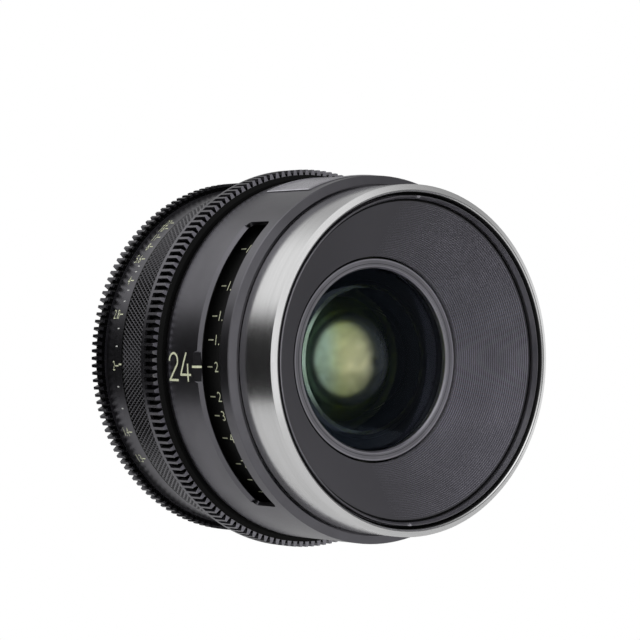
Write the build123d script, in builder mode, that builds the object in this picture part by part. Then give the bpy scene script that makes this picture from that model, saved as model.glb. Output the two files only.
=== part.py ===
from build123d import *
from math import cos, radians, sin, sqrt
import os

# Cinema prime lens. The optical axis lies along Y and the glass looks towards -Y. Up is +Z.
# The origin is on the axis at the flange seat. Every outline is given as radius and depth, where
# depth is the distance behind the front lip. Angles run from +X up to +Z. All lengths in mm.

# Whole lens
flange_depth = 118.0
fit_gap = 0.05
optical_axis = Axis((0, 0, 0), (0, -1, 0))

# Front ring and hood cone
front_radius = 57.0
clamp_rear = 18.4
clamp_step = 0.6
thread_radius = 54.45
web_front = 17.6
web_rear = 20.95
front_screw_circle = 52.5
front_screw_count = 6
rib_count = 35
rib_front_radius = 51.5
rib_front_depth = 3.3
rib_pitch = 0.5
baffle_bore = 34.0
spanner_slot_angle = 88.0

# Front barrel and its window
barrel_radius = 60.5
barrel_bore = 59.0
barrel_face_rear = 19.15
window_front = 23.7
window_rear = 35.3
window_bevel = 1.1
window_start = 132.2
window_arc = 98.8
window_corner = 1.5
corner_turn = 1.45
ramp_angle = 181.8
ramp_width = 9.4
ramp_rear = 38.9
ramp_slope = 17.4
plate_start = 66.0
plate_arc = 48.0
plate_front = 24.0
plate_rear = 48.0
plate_radius = 60.95

# Main barrel
tube_bore = 49.6
tube_radius = 51.9
tube_front = 21.05
tube_rear = 101.5
flange_radius = 57.6
sleeve_bore = 52.0
rear_radius = 56.0
rear_screw_circle = 50.8
rear_screw_count = 6
top_angle = 90.0
bottom_angle = 270.0

# Focus ring
focus_front = 57.0
focus_rear = 63.8
focus_teeth = 158
focus_tip = 64.0
focus_root = 62.2
focus_tooth_rear = 62.3
gear_seat = 57.9
grip_radius = 58.55
grip_rear = 83.8
drum_radius = 55.5
drum_bore = 53.9
cam_radius = 53.85
cam_front = 24.2
cam_rear = 83.3
cam_lead = 3.0
focus_throw = 300.0
focus_back = 48.6
stop_circle = 56.2
stop_radius = 1.2
grip_screw_depth = 60.5
grip_screw_angles = (30.0, 150.0, 270.0)
groove_width = 3.0
groove_floor = 53.2
pin_depth = 48.0

# Iris ring
index_radius = 58.45
scale_radius = 58.3
iris_front = 94.2
iris_rear = 99.1
iris_teeth = 150
iris_tip = 60.8
iris_root = 59.0
iris_seat = 56.0
iris_lower = 33.0
iris_upper = 52.0
arm_front = 92.0
arm_rear = 94.0

# Optical cell and iris
cell_bore = 46.5
cell_radius = 49.5
cell_front = 28.6
cell_rear = 100.0
cell_screw_circle = 48.0
cell_screw_count = 4
blade_count = 9
blade_pivot_circle = 26.5
blade_front = 86.25
blade_step = 0.24
blade_thickness = 0.12
blade_inner = 15.3
blade_outer = 24.2
blade_start = 8.0
blade_span = 80.0
blade_rest_turn = 12.0
blade_ratio = 0.363
drive_pin_arm = 8.0
drive_pin_angle = -105.5
drive_pin_radius = 0.45
pivot_pin_radius = 0.5
cam_plate_front = 88.6
cam_plate_rear = 89.8
cam_pin_circle = 31.9

# Mount
seat_radius = 33.5
neck_radius = 29.0
throat_radius = 27.0
snout_radius = 25.9
snout_bore = 24.7
tab_front = 115.0
throat_rear = 126.0
snout_rear = 135.5
mount_screw_circle = 36.5
mount_screw_count = 8


def station(depth):
    return depth - flange_depth


def cross_section(depth):
    # Plane square to the axis, x to the side, y up; it extrudes towards the front
    return Plane(origin=(0, station(depth), 0), x_dir=(1, 0, 0), z_dir=(0, -1, 0))


def radial_plane(angle):
    # Plane that holds the axis: x is the radius and y runs to the rear
    turn = radians(angle)
    return Plane(origin=(0, 0, 0), x_dir=(cos(turn), 0, sin(turn)), z_dir=(-sin(turn), 0, cos(turn)))


def outward(angle, radius, depth):
    # Plane that looks away from the axis, with x to the rear
    turn = radians(angle)
    centre = (radius * cos(turn), station(depth), radius * sin(turn))
    return Plane(origin=centre, x_dir=(0, 1, 0), z_dir=(cos(turn), 0, sin(turn)))


def ramp_plane(angle, radius, depth, slope):
    # Plane square to a ramp that falls towards the front: x goes round the axis, y leaves the ramp floor
    turn = radians(angle)
    fall = radians(slope)
    origin = (radius * cos(turn), station(depth), radius * sin(turn))
    down = (-sin(fall) * cos(turn), -cos(fall), -sin(fall) * sin(turn))
    return Plane(origin=origin, x_dir=(sin(turn), 0, -cos(turn)), z_dir=down)


def on_radius(edge, radius):
    centre = edge.center()
    return abs(sqrt(centre.X * centre.X + centre.Z * centre.Z) - radius) < 0.01


def turned(*corners, start=0, arc=360, mode=Mode.ADD):
    with BuildSketch(radial_plane(start)) as outline:
        with BuildLine():
            Polyline(*[(radius, station(depth)) for radius, depth in corners], close=True)
        make_face()
    revolve(outline.sketch, axis=optical_axis, revolution_arc=arc, mode=mode)


def ring(bore, radius, front, rear, start=0, arc=360, mode=Mode.ADD):
    turned((bore, front), (radius, front), (radius, rear), (bore, rear), start=start, arc=arc, mode=mode)


def studs(circle, count, radius, front, rear, start=0, mode=Mode.ADD):
    with BuildSketch(cross_section(rear)) as rounds:
        with PolarLocations(circle, count, start_angle=start):
            Circle(radius)
    extrude(rounds.sketch, amount=rear - front, mode=mode)


def sockets(circle, count, size, front, rear, start=0):
    with BuildSketch(cross_section(rear)) as hexagons:
        with PolarLocations(circle, count, start_angle=start):
            RegularPolygon(size, 6)
    extrude(hexagons.sketch, amount=rear - front, mode=Mode.SUBTRACT)


def spoke(angle, depth, radius, inner, outer, mode=Mode.ADD):
    with BuildSketch(outward(angle, inner, depth)) as round_section:
        Circle(radius)
    extrude(round_section.sketch, amount=outer - inner, mode=mode)


def block(angle, width, front, rear, inner, outer, mode=Mode.ADD):
    with BuildSketch(outward(angle, inner, (front + rear) / 2)) as rectangle:
        Rectangle(rear - front, width)
    extrude(rectangle.sketch, amount=outer - inner, mode=mode)


def toothed_ring(teeth, root, tip, bore, front, rear):
    pitch = 360 / teeth
    flank = ((root, -0.34), (tip, -0.18), (tip, 0.18), (root, 0.34))
    corners = []
    for tooth in range(teeth):
        for radius, part_of_pitch in flank:
            turn = radians((tooth + part_of_pitch) * pitch)
            corners.append((radius * cos(turn), radius * sin(turn)))
    with BuildSketch(cross_section(rear)) as outline:
        with BuildLine():
            Polyline(*corners, close=True)
        make_face()
        Circle(bore, mode=Mode.SUBTRACT)
    extrude(outline.sketch, amount=rear - front)


def sag(curve, height):
    # Depth of a spherical surface at a height; a positive curve has its centre to the rear
    reach = sqrt(curve * curve - height * height)
    return curve - reach if curve > 0 else curve + reach


def lens_element(rim, front, rear):
    # Each surface is the depth of its vertex, its curve and its clear height
    front_vertex, front_curve, front_height = front
    rear_vertex, rear_curve, rear_height = rear
    front_edge = front_vertex + sag(front_curve, front_height)
    rear_edge = rear_vertex + sag(rear_curve, rear_height)
    front_middle = front_vertex + sag(front_curve, front_height / 2)
    rear_middle = rear_vertex + sag(rear_curve, rear_height / 2)
    with BuildSketch(radial_plane(0)) as outline:
        with BuildLine():
            ThreePointArc(
                (0, station(front_vertex)),
                (front_height / 2, station(front_middle)),
                (front_height, station(front_edge)),
            )
            if front_height < rim:
                Line((front_height, station(front_edge)), (rim, station(front_edge)))
            Line((rim, station(front_edge)), (rim, station(rear_edge)))
            if rear_height < rim:
                Line((rim, station(rear_edge)), (rear_height, station(rear_edge)))
            ThreePointArc(
                (rear_height, station(rear_edge)),
                (rear_height / 2, station(rear_middle)),
                (0, station(rear_vertex)),
            )
            Line((0, station(rear_vertex)), (0, station(front_vertex)))
        make_face()
    revolve(outline.sketch, axis=optical_axis)


def iris_blade(index):
    # Drawn in the frame of the pivot, with the fully open crescent round the optical axis
    front = blade_front + blade_step * index
    angle = 360 / blade_count * index
    turn = radians(angle)
    facing = radians(angle + blade_rest_turn)
    pivot = (blade_pivot_circle * cos(turn), station(front), blade_pivot_circle * sin(turn))
    leaf = Plane(origin=pivot, x_dir=(cos(facing), 0, sin(facing)), z_dir=(0, -1, 0))
    heel = (drive_pin_arm * cos(radians(drive_pin_angle)), drive_pin_arm * sin(radians(drive_pin_angle)))
    with BuildSketch(leaf) as crescent:
        with BuildLine(mode=Mode.PRIVATE) as middle:
            CenterArc((-blade_pivot_circle, 0), (blade_inner + blade_outer) / 2, blade_start, blade_span)
        with BuildLine(mode=Mode.PRIVATE) as lobe:
            Line((-5.0, 0), (0, 0))
        with BuildLine(mode=Mode.PRIVATE) as tail:
            Line((0, 0), heel)
        SlotArc(middle.edges()[0], blade_outer - blade_inner)
        SlotArc(lobe.edges()[0], 2.6)
        SlotArc(tail.edges()[0], 2.2)
    extrude(crescent.sketch, amount=-blade_thickness)
    with BuildSketch(leaf) as pivot_round:
        Circle(pivot_pin_radius)
    extrude(pivot_round.sketch, amount=front - 84.8)
    with BuildSketch(leaf) as drive_round:
        with Locations(heel):
            Circle(drive_pin_radius)
    extrude(drive_round.sketch, amount=-(89.9 - front))


os.makedirs("parts", exist_ok=True)

# Front ring: silver tube with the thread, a shelf for the retaining ring and a rear web
with BuildPart() as front_ring:
    turned(
        (55.2, 0),
        (front_radius, 1.0),
        (front_radius, clamp_rear),
        (front_radius - clamp_step, clamp_rear),
        (front_radius - clamp_step, 19.6),
        (55.4, 19.6),
        (55.4, web_rear),
        (50.6, web_rear),
        (50.6, web_front),
        (54.0, web_front),
        (54.0, 8.0),
        (51.7, 8.0),
        (51.7, 6.25),
        (thread_radius, 6.25),
        (thread_radius, 0.6),
        (54.9, 0),
    )
    studs(front_screw_circle, front_screw_count, 1.0, web_front - 1, web_rear + 1, mode=Mode.SUBTRACT)
front_ring.part.label = "front_ring"
export_step(front_ring.part, "parts/front_ring.step")

# Retaining ring inside the thread, with a light outer lip and two spanner slots
with BuildPart() as retaining_ring:
    turned(
        (53.4, 1.0),
        (53.2, 0.75),
        (52.95, 0.75),
        (52.35, 2.3),
        (52.35, 5.0),
        (54.35, 5.0),
        (54.35, 3.6),
        (53.4, 3.6),
    )
    for angle in (spanner_slot_angle, spanner_slot_angle + 180):
        block(angle, 1.6, 0, 1.65, 52, 55, mode=Mode.SUBTRACT)
retaining_ring.part.label = "retaining_ring"
export_step(retaining_ring.part, "parts/retaining_ring.step")

# Ribbed baffle: cone of square steps that keeps stray light off the glass
rib_rise = (rib_front_radius - baffle_bore) / rib_count
ribs = []
for rib in range(rib_count):
    edge = rib_front_radius - rib_rise * (rib + 1)
    depth = rib_front_depth + rib_pitch * rib
    ribs.append((edge, depth))
    ribs.append((edge, depth + rib_pitch))
with BuildPart() as ribbed_baffle:
    turned(
        *ribs,
        (baffle_bore, 22.2),
        (35.8, 22.2),
        (51.2, 6.2),
        (53.9, 6.2),
        (53.9, 5.05),
        (52.1, 5.05),
        (52.1, rib_front_depth),
    )
ribbed_baffle.part.label = "ribbed_baffle"
export_step(ribbed_baffle.part, "parts/ribbed_baffle.step")

# Cutter for the scale window, with rounded corners
with BuildPart() as window_cutter:
    ring(barrel_bore - 1, barrel_radius + 1, window_front, window_rear, start=window_start, arc=window_arc)
    radial_edges = window_cutter.edges().filter_by(GeomType.LINE)
    corner_edges = radial_edges.filter_by(lambda edge: abs(edge.tangent_at(0).Y) < 0.1)
    fillet(corner_edges, window_corner)

# The index ramp slopes down to the window and has side walls at 45 degrees
with BuildPart() as ramp_cutter:
    with BuildSketch(ramp_plane(ramp_angle, barrel_radius, ramp_rear, ramp_slope)) as trough:
        with BuildLine():
            Polyline(
                (-ramp_width / 2, 0),
                (ramp_width / 2, 0),
                (ramp_width / 2 + 3, 3),
                (-ramp_width / 2 - 3, 3),
                close=True,
            )
        make_face()
    extrude(trough.sketch, amount=6)

# Front barrel: sleeve with a shallow cone for a front, a rounded rear end, the window and the index ramp
with BuildPart() as front_barrel:
    turned(
        (57.7, 18.5),
        (60.25, barrel_face_rear),
        (barrel_radius, barrel_face_rear + 0.3),
        (barrel_radius, 51.5),
        (60.42, 52.8),
        (60.2, 54.0),
        (59.8, 55.2),
        (barrel_bore, 55.2),
        (barrel_bore, 23.4),
        (57.7, 23.4),
        (57.7, web_rear),
        (55.5, web_rear),
        (55.5, 19.7),
        (57.6, 19.7),
        (57.6, 18.5),
    )
    add(window_cutter.part, mode=Mode.SUBTRACT)
    turned(
        (barrel_radius - window_bevel - 0.1, window_rear - 0.1),
        (barrel_radius + 0.5, window_rear - 0.1),
        (barrel_radius + 0.5, window_rear + window_bevel + 0.5),
        start=window_start + corner_turn,
        arc=window_arc - 2 * corner_turn,
        mode=Mode.SUBTRACT,
    )
    add(ramp_cutter.part, mode=Mode.SUBTRACT)
front_barrel.part.label = "front_barrel"
export_step(front_barrel.part, "parts/front_barrel.step")

# Top plate: bevelled bare plate with a shallow field, on the barrel
with BuildPart() as top_plate:
    turned(
        (barrel_radius + fit_gap, plate_rear),
        (60.7, plate_rear),
        (plate_radius, plate_rear - 0.4),
        (plate_radius, plate_front + 1),
        (60.7, plate_front),
        (barrel_radius + fit_gap, plate_front),
        start=plate_start,
        arc=plate_arc,
    )
    side_edges = top_plate.edges().filter_by(Axis.Y).filter_by(lambda edge: on_radius(edge, plate_radius))
    chamfer(side_edges, 0.25)
    ring(60.75, 62, plate_front + 2.5, plate_rear - 2, start=plate_start + 2, arc=plate_arc - 4, mode=Mode.SUBTRACT)
top_plate.part.label = "top_plate"
export_step(top_plate.part, "parts/top_plate.step")

# Front ring screws, through the web into the main barrel
with BuildPart() as front_ring_screws:
    studs(front_screw_circle, front_screw_count, 1.4, 16.1, web_front - fit_gap)
    studs(front_screw_circle, front_screw_count, 0.95, web_front - fit_gap, 23.0)
    sockets(front_screw_circle, front_screw_count, 0.8, 16.1, 17.0)
front_ring_screws.part.label = "front_ring_screws"
export_step(front_ring_screws.part, "parts/front_ring_screws.step")

# Main barrel: fixed tube that carries the rings, with slots for pin, keys and iris arm
with BuildPart() as main_barrel:
    turned(
        (tube_bore, tube_front),
        (flange_radius, tube_front),
        (flange_radius, 23.2),
        (tube_radius, 23.2),
        (tube_radius, tube_rear),
        (tube_bore, tube_rear),
    )
    studs(front_screw_circle, front_screw_count, 1.0, tube_front - 1, 23.1, mode=Mode.SUBTRACT)
    studs(rear_screw_circle, rear_screw_count, 0.85, 97.4, tube_rear + 1, start=30, mode=Mode.SUBTRACT)
    block(bottom_angle, 3.0, 44.2, 50.1, 48, 54, mode=Mode.SUBTRACT)
    for angle in (0, 180):
        block(angle, 4.2, 57.5, 72.8, 48, 54, mode=Mode.SUBTRACT)
    ring(48, 54, 91.7, 94.3, start=51.5, arc=96, mode=Mode.SUBTRACT)
main_barrel.part.label = "main_barrel"
export_step(main_barrel.part, "parts/main_barrel.step")

# Glide rings that centre the focus ring on the main barrel
with BuildPart() as front_glide_ring:
    ring(52.0, 55.3, 23.3, 24.1)
front_glide_ring.part.label = "front_glide_ring"
export_step(front_glide_ring.part, "parts/front_glide_ring.step")

with BuildPart() as rear_glide_ring:
    ring(52.0, 53.7, 83.4, 84.0)
rear_glide_ring.part.label = "rear_glide_ring"
export_step(rear_glide_ring.part, "parts/rear_glide_ring.step")

# Index ring: narrow fixed ring between the focus grip and the iris ring
with BuildPart() as index_ring:
    ring(sleeve_bore, index_radius, 84.1, 85.9)
    studs(stop_circle, 1, stop_radius + fit_gap, 83, 85.1, start=top_angle, mode=Mode.SUBTRACT)
index_ring.part.label = "index_ring"
export_step(index_ring.part, "parts/index_ring.step")

# Focus stop pin, which runs in the groove at the rear of the grip
with BuildPart() as focus_stop_pin:
    studs(stop_circle, 1, stop_radius, 81.9, 85.0, start=top_angle)
focus_stop_pin.part.label = "focus_stop_pin"
export_step(focus_stop_pin.part, "parts/focus_stop_pin.step")

# Rear barrel: closes the tube and steps down to the mount
with BuildPart() as rear_barrel:
    turned(
        (52.05, 99.8),
        (rear_radius, 99.8),
        (rear_radius, 102.2),
        (46.5, 108.4),
        (25.2, 108.4),
        (25.2, 104.8),
        (45.0, 104.8),
        (45.0, 101.6),
        (52.05, 101.6),
    )
    studs(rear_screw_circle, rear_screw_count, 0.85, 101, 109, start=30, mode=Mode.SUBTRACT)
    studs(rear_screw_circle, rear_screw_count, 1.7, 103.0, 109, start=30, mode=Mode.SUBTRACT)
    studs(mount_screw_circle, mount_screw_count, 1.05, 105.4, 109, mode=Mode.SUBTRACT)
rear_barrel.part.label = "rear_barrel"
export_step(rear_barrel.part, "parts/rear_barrel.step")

with BuildPart() as rear_barrel_screws:
    studs(rear_screw_circle, rear_screw_count, 1.6, 103.05, 104.4, start=30)
    studs(rear_screw_circle, rear_screw_count, 0.8, 97.5, 103.05, start=30)
    sockets(rear_screw_circle, rear_screw_count, 0.75, 103.5, 104.4, start=30)
rear_barrel_screws.part.label = "rear_barrel_screws"
export_step(rear_barrel_screws.part, "parts/rear_barrel_screws.step")

# Shim ring that sets the flange distance
with BuildPart() as shim_ring:
    ring(30.0, 41.5, 108.45, 108.95)
    studs(mount_screw_circle, mount_screw_count, 1.2, 108, 110, mode=Mode.SUBTRACT)
shim_ring.part.label = "shim_ring"
export_step(shim_ring.part, "parts/shim_ring.step")

# Mount plate: screwed base, neck, four tabs at the flange seat, throat and snout
with BuildPart() as mount_plate:
    turned(
        (snout_bore, 109.0),
        (42.0, 109.0),
        (42.0, 111.1),
        (41.6, 111.5),
        (neck_radius, 111.5),
        (neck_radius, tab_front),
        (seat_radius, tab_front),
        (seat_radius, flange_depth),
        (throat_radius, flange_depth),
        (throat_radius, throat_rear),
        (snout_radius, throat_rear),
        (snout_radius, snout_rear - 0.4),
        (snout_radius - 0.4, snout_rear),
        (snout_bore, snout_rear),
    )
    for angle in (45, 135, 225, 315):
        ring(29.6, 35, 114.9, 118.1, start=angle - 19, arc=38, mode=Mode.SUBTRACT)
    for angle in (0, 90, 180, 270):
        block(angle, 3.2, 114.9, 118.1, 31, 35, mode=Mode.SUBTRACT)
    studs(mount_screw_circle, mount_screw_count, 1.1, 108, 112, mode=Mode.SUBTRACT)
    studs(mount_screw_circle, mount_screw_count, 2.0, 110.2, 112, mode=Mode.SUBTRACT)
mount_plate.part.label = "mount_plate"
export_step(mount_plate.part, "parts/mount_plate.step")

with BuildPart() as mount_screws:
    studs(mount_screw_circle, mount_screw_count, 1.9, 110.25, 111.4)
    studs(mount_screw_circle, mount_screw_count, 1.0, 105.5, 110.25)
    sockets(mount_screw_circle, mount_screw_count, 0.9, 110.6, 111.4)
mount_screws.part.label = "mount_screws"
export_step(mount_screws.part, "parts/mount_screws.step")

# Focus gear: teeth with a flat front and a full collar behind them
with BuildPart() as focus_gear:
    toothed_ring(focus_teeth, focus_root, focus_tip, gear_seat + fit_gap, focus_front, focus_tooth_rear)
    ring(gear_seat + fit_gap, focus_tip, focus_tooth_rear, focus_rear)
focus_gear.part.label = "focus_gear"
export_step(focus_gear.part, "parts/focus_gear.step")

# Focus grip: seat for the gear, knurl band, and the groove of the end stops
stop_margin = 1.6
with BuildPart() as focus_grip:
    turned(
        (55.6, 57.1),
        (gear_seat, 57.1),
        (gear_seat, focus_rear + fit_gap),
        (grip_radius, focus_rear + fit_gap),
        (grip_radius, grip_rear),
        (53.95, grip_rear),
        (53.95, 66.2),
        (55.6, 66.2),
    )
    ring(
        stop_circle - 1.3,
        stop_circle + 1.3,
        81.4,
        grip_rear + 1,
        start=top_angle - focus_throw + focus_back - stop_margin,
        arc=focus_throw + 2 * stop_margin,
        mode=Mode.SUBTRACT,
    )
    for angle in grip_screw_angles:
        spoke(angle, grip_screw_depth, 1.0, 50, 60, mode=Mode.SUBTRACT)
focus_grip.part.label = "focus_grip"
export_step(focus_grip.part, "parts/focus_grip.step")

# Seal ring that fills the step between the front barrel and the gear
with BuildPart() as focus_seal_ring:
    turned(
        (55.75, 56.2),
        (60.8, 56.2),
        (62.2, 56.85),
        (62.2, 56.95),
        (55.75, 56.95),
    )
focus_seal_ring.part.label = "focus_seal_ring"
export_step(focus_seal_ring.part, "parts/focus_seal_ring.step")

# Scale drum with the distance marks, seen through the window
with BuildPart() as scale_drum:
    ring(drum_bore, drum_radius, cam_front, 66.0)
    for angle in grip_screw_angles:
        spoke(angle, grip_screw_depth, 1.0, 50, 60, mode=Mode.SUBTRACT)
scale_drum.part.label = "scale_drum"
export_step(scale_drum.part, "parts/scale_drum.step")

# Cam sleeve: the helical groove in its bore drives the follower pin
groove_margin = 4.0
groove_turn = focus_throw + 2 * groove_margin
groove_start = bottom_angle - focus_throw + focus_back - groove_margin
groove_depth = pin_depth - cam_lead * (bottom_angle - groove_start) / 360
with BuildPart() as cam_sleeve:
    ring(sleeve_bore, cam_radius, cam_front, cam_rear)
    for angle in grip_screw_angles:
        spoke(angle, grip_screw_depth, 1.0, 52.8, 60, mode=Mode.SUBTRACT)
    with BuildLine(mode=Mode.PRIVATE) as helix:
        Helix(
            pitch=cam_lead,
            height=cam_lead * groove_turn / 360,
            radius=sleeve_bore,
            center=(0, station(groove_depth), 0),
            direction=(0, 1, 0),
            lefthand=True,
        )
    groove_path = helix.edges()[0].rotate(optical_axis, groove_start - top_angle)
    with BuildSketch(Plane(groove_path ^ 0)) as groove_section:
        Rectangle(2 * (groove_floor - sleeve_bore), groove_width)
    sweep(groove_section.sketch, path=groove_path, is_frenet=True, mode=Mode.SUBTRACT)
cam_sleeve.part.label = "cam_sleeve"
export_step(cam_sleeve.part, "parts/cam_sleeve.step")

# Radial screws that hold grip, drum and sleeve together under the gear
with BuildPart() as grip_screws:
    for angle in grip_screw_angles:
        spoke(angle, grip_screw_depth, 0.9, 52.9, 57.7)
grip_screws.part.label = "grip_screws"
export_step(grip_screws.part, "parts/grip_screws.step")

# Iris scale ring with the aperture marks
with BuildPart() as iris_scale_ring:
    turned(
        (sleeve_bore, 86.1),
        (scale_radius, 86.1),
        (scale_radius, 94.1),
        (iris_seat, 94.1),
        (iris_seat, 99.4),
        (sleeve_bore, 99.4),
        (sleeve_bore, 97.6),
        (53.6, 97.6),
        (53.6, 89.0),
        (sleeve_bore, 89.0),
    )
iris_scale_ring.part.label = "iris_scale_ring"
export_step(iris_scale_ring.part, "parts/iris_scale_ring.step")

with BuildPart() as iris_gear:
    toothed_ring(iris_teeth, iris_root, iris_tip, iris_seat + fit_gap, iris_front, iris_rear)
iris_gear.part.label = "iris_gear"
export_step(iris_gear.part, "parts/iris_gear.step")

# Iris drive arm: pad under the iris ring and a forked arm that reaches into the cell
with BuildPart() as iris_drive_arm:
    ring(52.2, 53.5, 90.0, 96.0, start=top_angle - 8, arc=16)
    block(top_angle, 6.0, arm_front, arm_rear, 30.6, 52.8)
    block(top_angle, 2.0, arm_front - 0.5, arm_rear + 0.5, 30.2, 33.6, mode=Mode.SUBTRACT)
iris_drive_arm.part.label = "iris_drive_arm"
export_step(iris_drive_arm.part, "parts/iris_drive_arm.step")

# Cell tube: sliding tube that carries the glass
with BuildPart() as cell_tube:
    ring(cell_bore, cell_radius, cell_front, cell_rear)
    studs(cell_screw_circle, cell_screw_count, 0.8, 28, 33.2, start=45, mode=Mode.SUBTRACT)
    spoke(bottom_angle, pin_depth, 1.45, 45, 51, mode=Mode.SUBTRACT)
    for angle in (0, 180):
        block(angle, 4.1, 59.9, 72.1, 47.5, 51, mode=Mode.SUBTRACT)
    ring(45, 51, 91.4, 96.4, start=51.5, arc=96, mode=Mode.SUBTRACT)
cell_tube.part.label = "cell_tube"
export_step(cell_tube.part, "parts/cell_tube.step")

# Front cell: stepped holder of the five front elements
with BuildPart() as front_cell:
    turned(
        (30.65, 22.85),
        (33.4, 22.85),
        (33.4, 25.6),
        (cell_radius, 25.6),
        (cell_radius, 28.5),
        (33.4, 28.5),
        (33.4, 36.0),
        (28.5, 36.0),
        (28.5, 58.5),
        (23.5, 58.5),
        (23.5, 72.5),
        (18.9, 72.5),
        (18.9, 68.9),
        (20.6, 68.9),
        (20.6, 53.1),
        (25.6, 53.1),
        (25.6, 31.6),
        (30.65, 31.6),
    )
    studs(cell_screw_circle, cell_screw_count, 0.8, 25, 29, start=45, mode=Mode.SUBTRACT)
front_cell.part.label = "front_cell"
export_step(front_cell.part, "parts/front_cell.step")

with BuildPart() as cell_screws:
    studs(cell_screw_circle, cell_screw_count, 1.2, 24.3, 25.55, start=45)
    studs(cell_screw_circle, cell_screw_count, 0.7, 25.55, 33.0, start=45)
    sockets(cell_screw_circle, cell_screw_count, 0.6, 24.3, 25.1, start=45)
cell_screws.part.label = "cell_screws"
export_step(cell_screws.part, "parts/cell_screws.step")

# Front bezel: flat face with a bevel down to the glass
with BuildPart() as front_bezel:
    turned(
        (30.1, 21.4),
        (30.6, 20.8),
        (33.3, 20.8),
        (33.45, 20.95),
        (33.45, 22.8),
        (30.6, 22.8),
        (30.6, 23.2),
        (30.1, 23.2),
    )
front_bezel.part.label = "front_bezel"
export_step(front_bezel.part, "parts/front_bezel.step")

# Glass of the front group
with BuildPart() as element_1:
    lens_element(30.55, (20.3, 150, 30.55), (23.2, 36, 23.0))
element_1.part.label = "element_1"
export_step(element_1.part, "parts/element_1.step")

with BuildPart() as element_2:
    lens_element(25.5, (33.0, 55, 25.5), (34.62, 27, 18.0))
element_2.part.label = "element_2"
export_step(element_2.part, "parts/element_2.step")

with BuildPart() as element_3:
    lens_element(25.5, (44.5, 60, 25.5), (52.9, 3000, 25.5))
element_3.part.label = "element_3"
export_step(element_3.part, "parts/element_3.step")

with BuildPart() as element_4:
    lens_element(20.5, (55.2, -80, 18.0), (56.8, 45, 17.8))
element_4.part.label = "element_4"
export_step(element_4.part, "parts/element_4.step")

with BuildPart() as element_5:
    lens_element(20.5, (61.0, 45, 20.5), (72.4, -50, 20.5))
element_5.part.label = "element_5"
export_step(element_5.part, "parts/element_5.step")

with BuildPart() as spacer_a:
    ring(24.2, 25.5, 31.65, 38.5)
spacer_a.part.label = "spacer_a"
export_step(spacer_a.part, "parts/spacer_a.step")

with BuildPart() as spacer_b:
    ring(24.0, 25.5, 41.6, 49.4)
spacer_b.part.label = "spacer_b"
export_step(spacer_b.part, "parts/spacer_b.step")

with BuildPart() as spacer_c:
    ring(19.0, 20.5, 60.6, 65.1)
spacer_c.part.label = "spacer_c"
export_step(spacer_c.part, "parts/spacer_c.step")

# Iris housing: plate with the pivot holes and a rim round the cam ring
with BuildPart() as iris_housing:
    turned(
        (15.6, 84.0),
        (46.4, 84.0),
        (46.4, 86.0),
        (37.0, 86.0),
        (37.0, 91.2),
        (34.1, 91.2),
        (34.1, 86.0),
        (15.6, 86.0),
    )
    studs(blade_pivot_circle, blade_count, 0.55, 84.6, 87, mode=Mode.SUBTRACT)
iris_housing.part.label = "iris_housing"
export_step(iris_housing.part, "parts/iris_housing.step")

with BuildPart() as iris_snap_ring:
    ring(33.0, 34.05, 90.0, 90.8, start=100, arc=340)
iris_snap_ring.part.label = "iris_snap_ring"
export_step(iris_snap_ring.part, "parts/iris_snap_ring.step")

# Rear cell: stepped holder of the four rear elements
with BuildPart() as rear_cell:
    turned(
        (22.0, 91.2),
        (22.0, 97.0),
        (46.4, 97.0),
        (46.4, 99.0),
        (24.2, 99.0),
        (24.2, 133.5),
        (21.6, 133.5),
        (21.6, 113.2),
        (19.5, 113.2),
        (19.5, 109.0),
        (15.5, 109.0),
        (15.5, 106.5),
        (18.1, 106.5),
        (18.1, 91.2),
    )
rear_cell.part.label = "rear_cell"
export_step(rear_cell.part, "parts/rear_cell.step")

# Glass of the rear group
with BuildPart() as element_6:
    lens_element(18.0, (92.5, 40, 18.0), (102.6, -36, 18.0))
element_6.part.label = "element_6"
export_step(element_6.part, "parts/element_6.step")

with BuildPart() as element_7:
    lens_element(18.0, (102.65, -36, 18.0), (104.45, 60, 15.0))
element_7.part.label = "element_7"
export_step(element_7.part, "parts/element_7.step")

with BuildPart() as element_8:
    lens_element(21.5, (110.5, 70, 21.5), (120.4, -50, 21.5))
element_8.part.label = "element_8"
export_step(element_8.part, "parts/element_8.step")

with BuildPart() as element_9:
    lens_element(21.5, (124.5, -45, 19.0), (130.5, -200, 21.5))
element_9.part.label = "element_9"
export_step(element_9.part, "parts/element_9.step")

with BuildPart() as rear_spacer:
    ring(20.0, 21.5, 116.35, 120.2)
rear_spacer.part.label = "rear_spacer"
export_step(rear_spacer.part, "parts/rear_spacer.step")

with BuildPart() as rear_retainer:
    ring(19.8, 21.5, 129.6, 133.0)
    for angle in (0, 180):
        block(angle, 1.6, 132, 134, 19, 22, mode=Mode.SUBTRACT)
rear_retainer.part.label = "rear_retainer"
export_step(rear_retainer.part, "parts/rear_retainer.step")

# Follower pin and guide keys, which turn the cam motion into a straight slide
with BuildPart() as follower_pin:
    spoke(bottom_angle, pin_depth, 1.4, 46.6, 53.1)
follower_pin.part.label = "follower_pin"
export_step(follower_pin.part, "parts/follower_pin.step")

with BuildPart() as guide_keys:
    for angle in (0, 180):
        block(angle, 4.0, 60.0, 72.0, 47.6, 51.7)
guide_keys.part.label = "guide_keys"
export_step(guide_keys.part, "parts/guide_keys.step")

# Iris cam ring: nine curved slots that swing the blades
open_turn = -iris_lower - 1
closed_turn = iris_upper + 1


def slot_point(iris_turn):
    # Place of a drive pin in the frame of the cam ring, which has turned by the given angle
    swing = radians(drive_pin_angle + blade_rest_turn + blade_ratio * iris_turn)
    across = blade_pivot_circle + drive_pin_arm * cos(swing)
    along = drive_pin_arm * sin(swing)
    back = radians(-iris_turn)
    return (across * cos(back) - along * sin(back), across * sin(back) + along * cos(back))


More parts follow.
